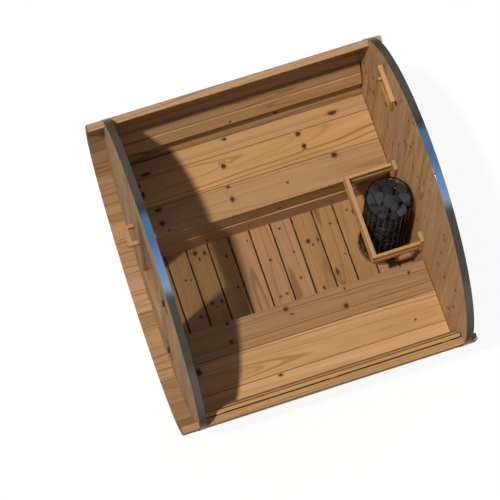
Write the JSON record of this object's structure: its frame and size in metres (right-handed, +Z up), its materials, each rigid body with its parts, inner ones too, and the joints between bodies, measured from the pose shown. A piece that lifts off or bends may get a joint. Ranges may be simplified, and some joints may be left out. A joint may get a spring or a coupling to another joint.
{
  "type": "barrel sauna",
  "caption": "Short barrel sauna of staves in steel hoops, open on top, with benches, a caged stone heater, a glazed door that swings and a vent panel that slides.",
  "frame": {"origin": "on the ground under the middle of the barrel", "axes": "+Y along the barrel from the door to the back wall, +Z up, +X to the right seen from the door"},
  "size_m": [1.9046, 1.8, 1.9621],
  "materials": {
    "stave_wood": "planed thermally treated softwood, oiled",
    "wall_wood": "planed softwood boards, upright",
    "hoop_steel": "rolled stainless strip, bright",
    "cradle_wood": "sawn softwood",
    "floor_wood": "planed softwood boards",
    "bench_wood": "planed knotty softwood",
    "heater_plate_steel": "bright plate",
    "cage_steel": "heat-blackened steel wire",
    "stone": "dark broken olivine stones",
    "guard_wood": "planed softwood strips",
    "vent_wood": "planed softwood strips",
    "door_wood": "planed softwood boards",
    "door_glass": "clear toughened glass",
    "hinge_steel": "stainless steel"
  },
  "bodies": {
    "cabin": {"staves_even": "stave_wood", "staves_odd": "stave_wood", "front_wall_left": "wall_wood", "front_wall_right": "wall_wood", "front_wall_top": "wall_wood", "front_wall_sill": "wall_wood", "back_wall_left": "wall_wood", "back_wall_middle": "wall_wood", "back_wall_right": "wall_wood", "front_hoop": "hoop_steel", "back_hoop": "hoop_steel", "front_cradle": "cradle_wood", "back_cradle": "cradle_wood", "floor_boards": "floor_wood", "floor_bearers": "floor_wood", "bench_right_boards": "bench_wood", "bench_left_boards": "bench_wood", "bench_right_aprons": "bench_wood", "bench_left_aprons": "bench_wood", "bench_right_bearers": "bench_wood", "bench_left_bearers": "bench_wood", "bench_right_posts": "bench_wood", "bench_left_posts": "bench_wood", "backrest_right_boards": "bench_wood", "backrest_left_boards": "bench_wood", "backrest_right_battens": "bench_wood", "backrest_left_battens": "bench_wood", "heater_base_plate": "heater_plate_steel", "heater_cage": "cage_steel", "heater_stones": "stone", "guard_front_rails": "guard_wood", "guard_side_rails": "guard_wood", "guard_posts": "guard_wood", "vent_rails": "vent_wood", "vent_stops": "vent_wood", "wall_hinge_leaves": "hinge_steel"},
    "door": {"door_left_stile": "door_wood", "door_right_stile": "door_wood", "door_bottom_rail": "door_wood", "door_top_rail": "door_wood", "door_glass": "door_glass", "outside_handle": "door_wood", "inside_handle": "door_wood", "door_hinge_leaves": "hinge_steel"},
    "vent_slide": {"vent_panel": "vent_wood", "vent_knob": "vent_wood"}
  },
  "joints": [
    {"name": "door_swing", "type": "hinge", "parent": "cabin", "child": "door", "pos_m": [0.337, -0.811, 1.035], "axis": [0, 0, 1], "range_deg": [0, 110]},
    {"name": "vent_slide", "type": "slide", "parent": "cabin", "child": "vent_slide", "axis": [1, 0, 0], "range_m": [0, 0.072]}
  ]
}
